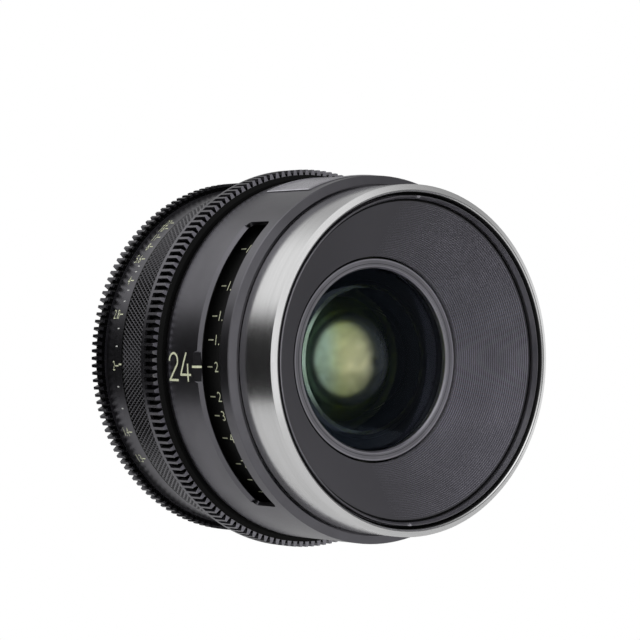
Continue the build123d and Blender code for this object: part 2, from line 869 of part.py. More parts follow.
with BuildPart() as iris_cam_ring:
    ring(16.5, 34.0, cam_plate_front, cam_plate_rear)
    with BuildLine(Plane.XY) as slot_line:
        ThreePointArc(slot_point(open_turn), slot_point((open_turn + closed_turn) / 2), slot_point(closed_turn))
    with BuildSketch(cross_section(cam_plate_rear + 1)) as slots:
        with PolarLocations(0, blade_count):
            SlotArc(slot_line.edges()[0], 1.14)
    extrude(slots.sketch, amount=cam_plate_rear - cam_plate_front + 2, mode=Mode.SUBTRACT)
iris_cam_ring.part.label = "iris_cam_ring"
export_step(iris_cam_ring.part, "parts/iris_cam_ring.step")

with BuildPart() as iris_cam_pin:
    studs(cam_pin_circle, 1, 0.9, cam_plate_rear + fit_gap, 96.0, start=top_angle)
iris_cam_pin.part.label = "iris_cam_pin"
export_step(iris_cam_pin.part, "parts/iris_cam_pin.step")

# Nine iris blades, each one step behind the last
with BuildPart() as blade_1:
    iris_blade(0)
blade_1.part.label = "blade_1"
export_step(blade_1.part, "parts/blade_1.step")

with BuildPart() as blade_2:
    iris_blade(1)
blade_2.part.label = "blade_2"
export_step(blade_2.part, "parts/blade_2.step")

with BuildPart() as blade_3:
    iris_blade(2)
blade_3.part.label = "blade_3"
export_step(blade_3.part, "parts/blade_3.step")

with BuildPart() as blade_4:
    iris_blade(3)
blade_4.part.label = "blade_4"
export_step(blade_4.part, "parts/blade_4.step")

with BuildPart() as blade_5:
    iris_blade(4)
blade_5.part.label = "blade_5"
export_step(blade_5.part, "parts/blade_5.step")

with BuildPart() as blade_6:
    iris_blade(5)
blade_6.part.label = "blade_6"
export_step(blade_6.part, "parts/blade_6.step")

with BuildPart() as blade_7:
    iris_blade(6)
blade_7.part.label = "blade_7"
export_step(blade_7.part, "parts/blade_7.step")

with BuildPart() as blade_8:
    iris_blade(7)
blade_8.part.label = "blade_8"
export_step(blade_8.part, "parts/blade_8.step")

with BuildPart() as blade_9:
    iris_blade(8)
blade_9.part.label = "blade_9"
export_step(blade_9.part, "parts/blade_9.step")
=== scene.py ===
import bpy
import math
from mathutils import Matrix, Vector


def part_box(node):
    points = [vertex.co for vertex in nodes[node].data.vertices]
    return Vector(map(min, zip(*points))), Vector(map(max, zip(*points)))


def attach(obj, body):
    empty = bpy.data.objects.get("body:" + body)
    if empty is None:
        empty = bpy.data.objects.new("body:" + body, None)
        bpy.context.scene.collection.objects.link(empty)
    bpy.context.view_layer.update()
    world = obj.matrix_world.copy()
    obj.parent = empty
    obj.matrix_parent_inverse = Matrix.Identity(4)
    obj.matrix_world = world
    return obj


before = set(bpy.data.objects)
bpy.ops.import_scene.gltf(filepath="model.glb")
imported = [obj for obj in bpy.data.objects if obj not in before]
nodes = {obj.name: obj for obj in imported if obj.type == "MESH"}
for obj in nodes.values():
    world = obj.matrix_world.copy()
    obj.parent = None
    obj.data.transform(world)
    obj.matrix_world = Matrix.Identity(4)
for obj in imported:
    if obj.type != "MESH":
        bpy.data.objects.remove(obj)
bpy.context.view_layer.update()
mm = 0.001
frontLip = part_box("front_ring")[0].y  # the front lip, in metres ahead of the flange seat
print("frame loaded:", len(nodes), "nodes")


# radius and depth behind the lip in mm, angle in degrees
def onBarrel(radius, depth, angle):
    turn = math.radians(angle)
    return Vector((radius * mm * math.cos(turn), frontLip + depth * mm, radius * mm * math.sin(turn)))


# camera: a long lens from the front left, at the height of the lens axis
camera = {
    "place": (-0.5476, -0.7960, 0.0158),
    "looks": (0.6004, 0.7997, -0.0031),
    "focalLength": 151.9,
    "sensor": 36.0,
}


def setCamera():
    data = bpy.data.cameras.new("camera")
    data.lens = camera["focalLength"]
    data.sensor_width = camera["sensor"]
    data.clip_start = 0.05
    eye = bpy.data.objects.new("camera", data)
    eye.location = camera["place"]
    eye.rotation_euler = Vector(camera["looks"]).to_track_quat("-Z", "Y").to_euler()
    bpy.context.scene.collection.objects.link(eye)
    bpy.context.scene.camera = eye


setCamera()
print("camera set")


# small helpers for node trees
def add(tree, kind, inputs=None, **settings):
    node = tree.nodes.new(kind)
    for name, value in settings.items():
        setattr(node, name, value)
    for name, value in (inputs or {}).items():
        if isinstance(value, bpy.types.NodeSocket):
            tree.links.new(value, node.inputs[name])
        else:
            node.inputs[name].default_value = value
    return node


def calc(tree, operation, *values, clamp=False):
    node = add(tree, "ShaderNodeMath", operation=operation, use_clamp=clamp)
    for slot, value in enumerate(values):
        if isinstance(value, bpy.types.NodeSocket):
            tree.links.new(value, node.inputs[slot])
        else:
            node.inputs[slot].default_value = value
    return node.outputs[0]


def spread(tree, value, fromLow, fromHigh, toLow, toHigh, smooth=False):
    node = add(tree, "ShaderNodeMapRange", interpolation_type="SMOOTHSTEP" if smooth else "LINEAR")
    tree.links.new(value, node.inputs["Value"])
    ends = {"From Min": fromLow, "From Max": fromHigh, "To Min": toLow, "To Max": toHigh}
    for name, number in ends.items():
        node.inputs[name].default_value = number
    return node.outputs["Result"]


def blendColours(tree, factor, first, second):
    node = add(tree, "ShaderNodeMix", data_type="RGBA")
    for slot, value in ((0, factor), (6, first), (7, second)):
        if isinstance(value, bpy.types.NodeSocket):
            tree.links.new(value, node.inputs[slot])
        elif slot == 0:
            node.inputs[slot].default_value = value
        else:
            node.inputs[slot].default_value = (*value, 1.0)
    return node.outputs[2]


# grey with a share of violet blue, as the photo's metals have
def grey(value, cool=0.0):
    return (value * (1 + cool / 5), value, value * (1 + cool))


def startFinish(name):
    material = bpy.data.materials.new(name)
    material.use_nodes = True
    tree = material.node_tree
    tree.nodes.clear()
    shader = add(tree, "ShaderNodeBsdfPrincipled")
    output = add(tree, "ShaderNodeOutputMaterial")
    tree.links.new(shader.outputs["BSDF"], output.inputs["Surface"])
    return material, tree, shader


# place, radius from the axis, depth behind the lip and angle, in metres and radians
def lensPlaces(tree):
    place = add(tree, "ShaderNodeTexCoord").outputs["Object"]
    parts = add(tree, "ShaderNodeSeparateXYZ", {"Vector": place})
    across, along, up = parts.outputs
    square = calc(tree, "ADD", calc(tree, "MULTIPLY", across, across), calc(tree, "MULTIPLY", up, up))
    radius = calc(tree, "SQRT", square)
    depth = calc(tree, "SUBTRACT", along, frontLip)
    angle = calc(tree, "ARCTAN2", up, across)
    return place, radius, depth, angle


# noise stretched round the axis, as a lathe tool leaves it
def turningMarks(tree, radius, depth, angle, fineness, streak=6.0):
    vector = add(tree, "ShaderNodeCombineXYZ")
    tree.links.new(calc(tree, "MULTIPLY", radius, fineness), vector.inputs[0])
    tree.links.new(calc(tree, "MULTIPLY", depth, fineness), vector.inputs[1])
    tree.links.new(calc(tree, "MULTIPLY", angle, streak), vector.inputs[2])
    settings = {"Vector": vector.outputs[0], "Scale": 1.0, "Detail": 3.0, "Roughness": 0.6}
    return add(tree, "ShaderNodeTexNoise", settings).outputs["Fac"]


def speckle(tree, place, scale, detail=2.0):
    settings = {"Vector": place, "Scale": scale, "Detail": detail, "Roughness": 0.55}
    return add(tree, "ShaderNodeTexNoise", settings).outputs["Fac"]


def roughen(tree, shader, height, distance, strength=1.0):
    bump = add(tree, "ShaderNodeBump", {"Height": height, "Distance": distance, "Strength": strength})
    tree.links.new(bump.outputs["Normal"], shader.inputs["Normal"])


def tune(shader, **values):
    names = {
        "metal": "Metallic", "rough": "Roughness", "streaks": "Anisotropic", "shine": "Specular IOR Level",
        "bend": "IOR",
    }
    for key, value in values.items():
        shader.inputs[names[key]].default_value = value


def feed(tree, shader, name, socket):
    tree.links.new(socket, shader.inputs[name])


# silver front ring: turned outside and lip, black thread inside
silver = {
    "colour": grey(0.78, 0.004), "worn": grey(0.64), "rough": (0.15, 0.25), "marks": 9000.0, "streaks": 0.5,
    "boreFrom": 54.6, "threadPitch": 1.0, "threadDepth": 12.0, "blackColour": grey(0.022),
}


def silverFinish():
    material, tree, shader = startFinish("turned_silver")
    place, radius, depth, angle = lensPlaces(tree)
    marks = turningMarks(tree, radius, depth, angle, silver["marks"])
    broad = turningMarks(tree, radius, depth, angle, silver["marks"] / 12, 1.5)
    outside = spread(tree, radius, silver["boreFrom"] * mm, (silver["boreFrom"] + 0.05) * mm, 0, 1)
    shade = blendColours(tree, spread(tree, broad, 0.3, 0.7, 0, 0.5), silver["colour"], silver["worn"])
    feed(tree, shader, "Base Color", blendColours(tree, outside, silver["blackColour"], shade))
    steel = spread(tree, marks, 0.3, 0.7, *silver["rough"])
    black = spread(tree, outside, 0, 1, 0.5, 0.0)
    feed(tree, shader, "Roughness", calc(tree, "ADD", black, calc(tree, "MULTIPLY", outside, steel)))
    feed(tree, shader, "Metallic", outside)
    tune(shader, streaks=silver["streaks"])
    tangent = add(tree, "ShaderNodeTangent", direction_type="RADIAL", axis="Y")
    feed(tree, shader, "Tangent", tangent.outputs[0])
    thread = calc(tree, "SINE", calc(tree, "MULTIPLY", depth, 2 * math.pi / (silver["threadPitch"] * mm)))
    inBore = calc(tree, "SUBTRACT", 1.0, outside)
    thread = calc(tree, "MULTIPLY", thread, calc(tree, "MULTIPLY", inBore, silver["threadDepth"]))
    roughen(tree, shader, calc(tree, "ADD", thread, marks), 0.000008, 0.35)
    return material


# black anodised aluminium: rings of radius can carry painted edge highlights and painted shade in gaps and
# between teeth, the faces to the front a painted darker grey, slot walls and a gear's front face a painted
# highlight
anodised = {
    # ribbed baffle: its faces to the front are painted much darker than its other faces, as painted shade by
    # facing; its outer ring of radius is painted near black as shade in the gap
    "hoodBlack": {
        "colour": grey(0.68, 0.11), "frontFacePaintedShade": grey(0.120, 0.11), "rough": (0.36, 0.48), "metal": 0.8,
        "marks": 6000.0, "bump": 0.000004, "streaks": 0.85, "paintedHighlightAndShadeBands": ((51.6, 60.0, 0.006),),
    },
    # retaining ring: painted near black outside 53.45 mm as shade in the thread gap, with a thin painted
    # highlight just inside, and its slot walls painted white as highlight
    "retainGrey": {
        "colour": grey(0.22, 0.10), "rough": (0.30, 0.40), "metal": 0.9, "marks": 7000.0, "bump": 0.000005,
        "paintedHighlightAndShadeBands": ((53.45, 60.0, 0.008), (53.15, 53.45, 0.40)), "slotWallHighlight": 1.0,
    },
    # bezel: thin light rings painted as edge highlights, thin dark rings painted as shade in its gaps
    "ringBlack": {
        "colour": grey(0.33, 0.10), "rough": (0.28, 0.38), "metal": 0.9, "streaks": 0.6, "marks": 9000.0,
        "bump": 0.000006, "paintedHighlightAndShadeBands": ((30.0, 30.6, 0.30), (30.6, 31.0, 0.50), (31.5, 31.75, 0.16),
                                    (32.7, 33.1, 0.55), (33.2, 33.6, 0.02)),
    },
    # focus gear: painted near black below 63 mm as shade between the teeth, its front face painted light as
    # highlight
    "focusGearGrey": {
        "colour": grey(0.135, 0.10), "rough": (0.28, 0.38), "metal": 1.0, "marks": 5000.0, "bump": 0.000005,
        "paintedHighlightAndShadeBands": ((50.0, 63.0, 0.012),), "frontFaceHighlight": (57.03, 0.55),
    },
    # iris gear: painted near black below the tooth crests as shade between the teeth
    "irisGearGrey": {
        "colour": grey(0.075, 0.10), "rough": (0.28, 0.38), "metal": 1.0, "marks": 5000.0, "bump": 0.000005,
        "paintedHighlightAndShadeBands": ((58.7, 60.0, 0.010),),
    },
    "darkRing": {
        "colour": grey(0.110, 0.10), "rough": (0.28, 0.36), "metal": 1.0, "marks": 5000.0, "bump": 0.000005,
    },
    "innerBlack": {
        "colour": (0.055, 0.060, 0.045), "rough": (0.32, 0.42), "metal": 0.9, "marks": 4000.0,
        "bump": 0.000001, "shine": 0.15, "streaks": 0.9,
    },
    "drumBlack": {
        "colour": grey(0.007), "rough": (0.45, 0.60), "metal": 0.0, "marks": 4000.0, "bump": 0.000003,
        "shine": 0.3,
    },
    "sealBlack": {
        "colour": grey(0.004), "rough": (0.55, 0.68), "metal": 0.0, "marks": 3000.0, "bump": 0.000004,
        "shine": 0.1,
    },
}


def anodisedFinish(name):
    look = anodised[name]
    material, tree, shader = startFinish(name)
    place, radius, depth, angle = lensPlaces(tree)
    marks = turningMarks(tree, radius, depth, angle, look["marks"], 2.0)
    cloud = speckle(tree, place, 90.0)
    dust = speckle(tree, place, 2600.0, 1.0)
    lighter = tuple(part * 1.2 for part in look["colour"])
    lightest = tuple(part * 1.6 for part in look["colour"])
    shade = blendColours(tree, spread(tree, cloud, 0.35, 0.65, 0, 1), look["colour"], lighter)
    shade = blendColours(tree, spread(tree, marks, 0.55, 0.75, 0, 0.35), shade, lightest)
    # faces to the front get their own grey: painted light and shade by facing
    if "frontFacePaintedShade" in look:
        normal = add(tree, "ShaderNodeTexCoord").outputs["Normal"]
        along = add(tree, "ShaderNodeSeparateXYZ", {"Vector": normal}).outputs[1]
        shade = blendColours(tree, spread(tree, along, -0.9, -0.5, 1, 0), shade, look["frontFacePaintedShade"])
    # rings of radius painted light as edge highlights, or near black as shade in gaps and between teeth
    for low, high, level in look.get("paintedHighlightAndShadeBands", ()):
        inside = calc(tree, "GREATER_THAN", radius, low * mm)
        inside = calc(tree, "MULTIPLY", inside, calc(tree, "LESS_THAN", radius, high * mm))
        shade = blendColours(tree, inside, shade, grey(level, 0.10))
    # slot walls at top and bottom, facing sideways, painted light as highlight
    if "slotWallHighlight" in look:
        normal = add(tree, "ShaderNodeTexCoord").outputs["Normal"]
        sideways = calc(tree, "ABSOLUTE", add(tree, "ShaderNodeSeparateXYZ", {"Vector": normal}).outputs[0])
        offCentre = calc(tree, "ABSOLUTE", add(tree, "ShaderNodeSeparateXYZ", {"Vector": place}).outputs[0])
        slotHighlight = calc(tree, "GREATER_THAN", sideways, 0.8)
        slotHighlight = calc(tree, "MULTIPLY", slotHighlight, calc(tree, "LESS_THAN", offCentre, 4 * mm))
        shade = blendColours(tree, slotHighlight, shade, grey(look["slotWallHighlight"], 0.05))
    # the front face painted light as highlight
    if "frontFaceHighlight" in look:
        front, level = look["frontFaceHighlight"]
        shade = blendColours(tree, calc(tree, "LESS_THAN", depth, front * mm), shade, grey(level, 0.10))
    feed(tree, shader, "Base Color", shade)
    uneven = calc(tree, "MULTIPLY", calc(tree, "ADD", marks, dust), 0.5)
    feed(tree, shader, "Roughness", spread(tree, uneven, 0.3, 0.7, *look["rough"]))
    tune(shader, metal=look["metal"], shine=look.get("shine", 0.5), streaks=look.get("streaks", 0.0))
    tangent = add(tree, "ShaderNodeTangent", direction_type="RADIAL", axis="Y")
    feed(tree, shader, "Tangent", tangent.outputs[0])
    roughen(tree, shader, calc(tree, "ADD", marks, calc(tree, "MULTIPLY", dust, 0.5)), look["bump"], 0.4)
    return material


# front barrel: fine blasted gunmetal, with a thin painted highlight along its front edge, broken up in
# patches
barrel = {
    "colour": grey(0.128, 0.10), "edgeColour": grey(0.150, 0.10), "rough": (0.28, 0.36), "grain": 5200.0,
    "edges": (19.3,), "edgeWidth": 0.2, "metal": 1.0, "faceStreaks": 0.8,
}


def barrelFinish():
    material, tree, shader = startFinish("blasted_gunmetal")
    place, radius, depth, angle = lensPlaces(tree)
    grain = speckle(tree, place, barrel["grain"], 2.0)
    cloud = speckle(tree, place, 60.0, 3.0)
    lighter = tuple(part * 1.18 for part in barrel["colour"])
    shade = blendColours(tree, spread(tree, cloud, 0.35, 0.65, 0, 1), barrel["colour"], lighter)
    # a painted highlight in a thin line along each listed edge, broken up in patches
    edgeHighlightMask = 0.0
    for edge in barrel["edges"]:
        far = calc(tree, "ABSOLUTE", calc(tree, "SUBTRACT", depth, edge * mm))
        near = spread(tree, far, 0, barrel["edgeWidth"] * mm, 0.5, 0.0, smooth=True)
        edgeHighlightMask = near if edgeHighlightMask == 0.0 else calc(tree, "MAXIMUM", edgeHighlightMask, near)
    patchy = spread(tree, speckle(tree, place, 400.0, 3.0), 0.35, 0.7, 0.3, 1.0)
    shade = blendColours(tree, calc(tree, "MULTIPLY", edgeHighlightMask, patchy), shade, barrel["edgeColour"])
    feed(tree, shader, "Base Color", shade)
    low, high = barrel["rough"]
    feed(tree, shader, "Roughness", spread(tree, grain, 0.35, 0.65, low, high))
    tune(shader, metal=barrel["metal"])
    normal = add(tree, "ShaderNodeTexCoord").outputs["Normal"]
    along = add(tree, "ShaderNodeSeparateXYZ", {"Vector": normal}).outputs[1]
    feed(tree, shader, "Anisotropic", spread(tree, along, -0.95, -0.6, barrel["faceStreaks"], 0.0))
    tangent = add(tree, "ShaderNodeTangent", direction_type="RADIAL", axis="Y")
    feed(tree, shader, "Tangent", tangent.outputs[0])
    roughen(tree, shader, grain, 0.00001, 0.35)
    return material


# bare steel, brass shim, white glide rings and blued blades
plainFinishes = {
    "ground_steel": {"colour": grey(0.58, 0.01), "rough": (0.22, 0.34), "metal": 1.0, "marks": 8000.0},
    "screw_steel": {"colour": grey(0.34, 0.01), "rough": (0.28, 0.42), "metal": 1.0, "marks": 12000.0},
    "brass_shim": {"colour": (0.70, 0.55, 0.27), "rough": (0.25, 0.4), "metal": 1.0, "marks": 4000.0},
    "glide_white": {"colour": (0.80, 0.79, 0.75), "rough": (0.4, 0.55), "metal": 0.0, "marks": 1500.0},
    "blade_black": {"colour": grey(0.03, 0.05), "rough": (0.3, 0.45), "metal": 0.7, "marks": 5000.0},
    "plate_grey": {"colour": grey(0.62, 0.08), "rough": (0.24, 0.36), "metal": 1.0, "marks": 3500.0},
}


def plainFinish(name):
    look = plainFinishes[name]
    material, tree, shader = startFinish(name)
    place, radius, depth, angle = lensPlaces(tree)
    marks = turningMarks(tree, radius, depth, angle, look["marks"], 3.0)
    cloud = speckle(tree, place, 140.0, 3.0)
    darker = tuple(part * 0.8 for part in look["colour"])
    shade = blendColours(tree, spread(tree, cloud, 0.35, 0.65, 0, 1), look["colour"], darker)
    feed(tree, shader, "Base Color", shade)
    low, high = look["rough"]
    feed(tree, shader, "Roughness", spread(tree, marks, 0.3, 0.7, low, high))
    tune(shader, metal=look["metal"])
    roughen(tree, shader, marks, 0.000005, 0.3)
    return material


# coated glass: refracts, hardly reflects, with the edge and the flat shoulder behind painted black; pale
# rings are painted on that shoulder as highlights, and element_2 carries a painted reflection of the lit
# pupil
glass = {
    "element_1": {
        "tint": (0.97, 0.99, 0.98), "coating": (0.10, 0.16, 0.26), "bend": 1.60,
        "rim": 30.55, "shoulder": 23.0,
        "rings": ((23.0, 23.4, 0.95), (25.0, 25.3, 0.50), (26.6, 26.9, 0.30), (28.3, 28.9, 0.25)),
    },
    "element_2": {
        "tint": (0.97, 0.99, 0.90), "coating": (0.08, 0.20, 0.12), "bend": 1.60,
        "rim": 25.5, "shoulder": 18.0,
        # mirror, blur, core, glow and cool shape a painted reflection of the lit pupil
        "mirror": 0.46, "blur": 0.27, "core": (0.98, 0.95, 0.60), "glow": (0.55, 0.66, 0.20),
        "cool": (0.62, 0.86, 0.80), "rings": ((18.0, 18.35, 0.90), (20.2, 20.5, 0.50), (22.4, 22.8, 0.35)),
    },
    "element_3": {
        "tint": (0.97, 0.99, 0.85), "coating": (0.10, 0.18, 0.06), "bend": 1.70,
        "rim": 25.5, "shoulder": 25.5,
    },
    "element_4": {
        "tint": (0.97, 0.99, 0.85), "coating": (0.16, 0.18, 0.06), "bend": 1.60,
        "rim": 20.5, "shoulder": 17.8,
    },
    "element_5": {
        "tint": (0.98, 0.99, 0.85), "coating": (0.16, 0.14, 0.06), "bend": 1.65,
        "rim": 20.5, "shoulder": 20.5,
    },
    "element_6": {
        "tint": (0.98, 0.99, 0.88), "coating": (0.14, 0.12, 0.16), "bend": 1.65,
        "rim": 18.0, "shoulder": 18.0,
    },
    "element_7": {
        "tint": (0.98, 0.99, 0.90), "coating": (0.14, 0.12, 0.16), "bend": 1.70,
        "rim": 18.0, "shoulder": 15.0,
    },
    "element_8": {
        "tint": (0.98, 0.99, 0.92), "coating": (0.14, 0.12, 0.18), "bend": 1.60,
        "rim": 21.5, "shoulder": 21.5,
    },
    "element_9": {
        "tint": (0.98, 0.99, 0.94), "coating": (0.18, 0.12, 0.24), "bend": 1.65,
        "rim": 21.5, "shoulder": 21.5,
    },
}


def glassFinish(name):
    look = glass[name]
    material, tree, shader = startFinish("coated_glass_" + name)
    place, radius, depth, angle = lensPlaces(tree)
    normal = add(tree, "ShaderNodeTexCoord").outputs["Normal"]
    facing = add(tree, "ShaderNodeSeparateXYZ", {"Vector": normal}).outputs[1]
    edge = calc(tree, "GREATER_THAN", radius, (look["rim"] - 0.08) * mm)
    shoulder = calc(tree, "GREATER_THAN", radius, (look["shoulder"] + 0.02) * mm)
    behind = calc(tree, "MULTIPLY", calc(tree, "GREATER_THAN", facing, 0.9), shoulder)
    painted = calc(tree, "MAXIMUM", edge, behind)
    film = speckle(tree, place, 45.0, 2.0)
    other = tuple(part * 0.985 for part in look["tint"])
    clear = blendColours(tree, spread(tree, film, 0.35, 0.65, 0, 1), look["tint"], other)
    # element_2: a painted reflection of the lit pupil, yellow-white in the middle, olive outward, cooler
    # towards the left and darker in patches, shown through its metallic share
    if "glow" in look:
        outward = spread(tree, radius, 0.002, 0.8 * look["rim"] * mm, 0, 1, smooth=True)
        clear = blendColours(tree, outward, look["core"], look["glow"])
        across = add(tree, "ShaderNodeSeparateXYZ", {"Vector": place}).outputs[0]
        towardsLeft = spread(tree, across, -0.016, -0.006, 0.8, 0, smooth=True)
        clear = blendColours(tree, towardsLeft, clear, look["cool"])
        patchy = spread(tree, speckle(tree, place, 150.0, 1.0), 0.35, 0.62, 0.25, 0, smooth=True)
        clear = blendColours(tree, patchy, clear, (0.20, 0.24, 0.06))
    black = grey(0.004)
    bright = 0.0
    # pale rings painted on the black shoulder as highlights, given a metallic share so they also reflect
    for low, high, level in look.get("rings", ()):
        inside = calc(tree, "MULTIPLY", behind, calc(tree, "GREATER_THAN", radius, low * mm))
        inside = calc(tree, "MULTIPLY", inside, calc(tree, "LESS_THAN", radius, high * mm))
        black = blendColours(tree, inside, black, (level, level * 0.96, level * 0.75))
        bright = calc(tree, "MAXIMUM", bright, inside)
    feed(tree, shader, "Base Color", blendColours(tree, painted, clear, black))
    feed(tree, shader, "Transmission Weight", calc(tree, "SUBTRACT", 1.0, painted))
    roughness = spread(tree, painted, 0, 1, look.get("blur", 0.0), 0.7)
    feed(tree, shader, "Roughness", calc(tree, "SUBTRACT", roughness, calc(tree, "MULTIPLY", bright, 0.4)))
    mirror = spread(tree, painted, 0, 1, look.get("mirror", 0.0), 0.0)
    feed(tree, shader, "Metallic", calc(tree, "MAXIMUM", mirror, bright))
    tune(shader, bend=look["bend"])
    shader.inputs["Specular Tint"].default_value = (*look["coating"], 1.0)
    return material


def dress(finish, *names):
    for name in names:
        node = nodes[name]
        node.data.materials.clear()
        node.data.materials.append(finish)


dress(silverFinish(), "front_ring")
dress(anodisedFinish("hoodBlack"), "ribbed_baffle")
dress(anodisedFinish("retainGrey"), "retaining_ring")
dress(anodisedFinish("ringBlack"), "front_bezel")
dress(anodisedFinish("focusGearGrey"), "focus_gear")
dress(anodisedFinish("irisGearGrey"), "iris_gear")
dress(anodisedFinish("darkRing"), "focus_grip", "iris_scale_ring", "index_ring", "rear_barrel")
dress(anodisedFinish("sealBlack"), "focus_seal_ring")
dress(anodisedFinish("drumBlack"), "scale_drum", "cam_sleeve")
dress(anodisedFinish("innerBlack"), "main_barrel", "cell_tube", "front_cell", "rear_cell", "spacer_a",
      "spacer_b", "spacer_c", "rear_spacer", "rear_retainer", "iris_housing")
dress(barrelFinish(), "front_barrel")
dress(plainFinish("plate_grey"), "top_plate")
dress(plainFinish("ground_steel"), "mount_plate")
dress(plainFinish("screw_steel"), "front_ring_screws", "rear_barrel_screws", "mount_screws", "grip_screws",
      "cell_screws", "focus_stop_pin", "follower_pin", "guide_keys", "iris_cam_pin", "iris_snap_ring",
      "iris_drive_arm", "iris_cam_ring")
dress(plainFinish("brass_shim"), "shim_ring")
dress(plainFinish("glide_white"), "front_glide_ring", "rear_glide_ring")
dress(plainFinish("blade_black"), *["blade_%d" % count for count in range(1, 10)])
for count in range(1, 10):
    dress(glassFinish("element_%d" % count), "element_%d" % count)
print("finishes on the CAD nodes")


# diamond knurl on the focus grip: crossed ridges with a four-sided pit between them
knurl = {
    # pit colour is painted shade in the pits of the knurl, ridge colour the lighter crests
    "columns": 460, "rows": 18, "root": 58.57, "height": 0.24, "front": 63.95, "rear": 83.75,
    "ridge": grey(0.18, 0.10), "pit": grey(0.008), "pitShare": 0.45, "ridgeShare": 0.95,
}


def knurlFinish():
    material, tree, shader = startFinish("knurl_black")
    place, radius, depth, angle = lensPlaces(tree)
    pitTop = knurl["root"] + knurl["height"] * knurl["pitShare"]
    ridgeTop = knurl["root"] + knurl["height"] * knurl["ridgeShare"]
    # crests painted light and pits painted near black as shade, by radius; worn carries this painted light,
    # dimmed in places by dust
    paintedRidgeLight = spread(tree, radius, pitTop * mm, ridgeTop * mm, 0, 1)
    dust = speckle(tree, place, 2200.0, 2.0)
    worn = calc(tree, "MULTIPLY", paintedRidgeLight, spread(tree, dust, 0.3, 0.7, 0.6, 1.0))
    feed(tree, shader, "Base Color", blendColours(tree, worn, knurl["pit"], knurl["ridge"]))
    feed(tree, shader, "Roughness", spread(tree, dust, 0.3, 0.7, 0.18, 0.28))
    tune(shader, metal=1.0)
    roughen(tree, shader, dust, 0.000004, 0.3)
    return material


# a grid of columns and rows rolled round the axis, with every other point raised
def knurlTree(finish):
    tree = bpy.data.node_groups.new("knurl", "GeometryNodeTree")
    face = tree.interface
    face.new_socket("Geometry", in_out="OUTPUT", socket_type="NodeSocketGeometry")
    for name in ("Columns", "Rows"):
        face.new_socket(name, in_out="INPUT", socket_type="NodeSocketInt")
    for name in ("Root", "Height", "Front", "Rear"):
        face.new_socket(name, in_out="INPUT", socket_type="NodeSocketFloat")
    given = add(tree, "NodeGroupInput").outputs
    grid = add(tree, "GeometryNodeMeshGrid", {"Size X": 1.0, "Size Y": 1.0})
    tree.links.new(calc(tree, "ADD", given["Columns"], 1.0), grid.inputs["Vertices X"])
    tree.links.new(given["Rows"], grid.inputs["Vertices Y"])
    index = add(tree, "GeometryNodeInputIndex").outputs[0]
    column = calc(tree, "FLOOR", calc(tree, "DIVIDE", calc(tree, "ADD", index, 0.5), given["Rows"]))
    row = calc(tree, "SUBTRACT", index, calc(tree, "MULTIPLY", column, given["Rows"]))
    odd = calc(tree, "FLOORED_MODULO", calc(tree, "ADD", column, row), 2.0)
    share = calc(tree, "DIVIDE", row, calc(tree, "SUBTRACT", given["Rows"], 1.0))
    inner = calc(tree, "GREATER_THAN", share, 0.001)
    inner = calc(tree, "MULTIPLY", inner, calc(tree, "LESS_THAN", share, 0.999))
    lift = calc(tree, "MULTIPLY", calc(tree, "MULTIPLY", odd, inner), given["Height"])
    radius = calc(tree, "ADD", given["Root"], lift)
    turn = calc(tree, "DIVIDE", calc(tree, "MULTIPLY", column, -2 * math.pi), given["Columns"])
    length = calc(tree, "SUBTRACT", given["Rear"], given["Front"])
    place = add(tree, "ShaderNodeCombineXYZ")
    tree.links.new(calc(tree, "MULTIPLY", radius, calc(tree, "COSINE", turn)), place.inputs[0])
    tree.links.new(calc(tree, "ADD", given["Front"], calc(tree, "MULTIPLY", share, length)), place.inputs[1])
    tree.links.new(calc(tree, "MULTIPLY", radius, calc(tree, "SINE", turn)), place.inputs[2])
    rolled = add(tree, "GeometryNodeSetPosition", {"Geometry": grid.outputs["Mesh"]})
    tree.links.new(place.outputs[0], rolled.inputs["Position"])
    joined = add(tree, "GeometryNodeMergeByDistance", {"Geometry": rolled.outputs[0], "Distance": 0.00001})
    split = add(tree, "GeometryNodeTriangulate", quad_method="LONGEST_DIAGONAL")
    tree.links.new(joined.outputs[0], split.inputs["Mesh"])
    real = add(tree, "GeometryNodeRealizeInstances", {"Geometry": split.outputs[0]})
    coated = add(tree, "GeometryNodeSetMaterial", {"Geometry": real.outputs[0]})
    coated.inputs["Material"].default_value = finish
    end = add(tree, "NodeGroupOutput")
    tree.links.new(coated.outputs[0], end.inputs[0])
    return tree


# runs a Geometry Nodes tree on an empty mesh and keeps the plain mesh
def grow(name, tree, sizes, finish):
    base = bpy.data.objects.new(name + "_base", bpy.data.meshes.new(name + "_base"))
    bpy.context.scene.collection.objects.link(base)
    modifier = base.modifiers.new("nodes", "NODES")
    modifier.node_group = tree
    for item in tree.interface.items_tree:
        if item.item_type == "SOCKET" and item.in_out == "INPUT" and item.name in sizes:
            modifier[item.identifier] = sizes[item.name]
    depsgraph = bpy.context.evaluated_depsgraph_get()
    mesh = bpy.data.meshes.new_from_object(base.evaluated_get(depsgraph))
    bpy.data.objects.remove(base)
    mesh.materials.clear()
    mesh.materials.append(finish)
    piece = bpy.data.objects.new(name, mesh)
    bpy.context.scene.collection.objects.link(piece)
    return piece


def makeKnurl():
    finish = knurlFinish()
    sizes = {
        "Columns": knurl["columns"], "Rows": knurl["rows"],
        "Root": knurl["root"] * mm, "Height": knurl["height"] * mm,
        "Front": frontLip + knurl["front"] * mm, "Rear": frontLip + knurl["rear"] * mm,
    }
    band = grow("knurl_band", knurlTree(finish), sizes, finish)
    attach(band, "focus_ring")


makeKnurl()
print("knurl rolled")


# marks: numbers and lines laid on the drums, reading towards the front
inks = {"scaleYellow": (0.90, 0.93, 0.66), "tickWhite": (0.82, 0.83, 0.80)}
text = {"relief": 0.03, "step": 0.6}


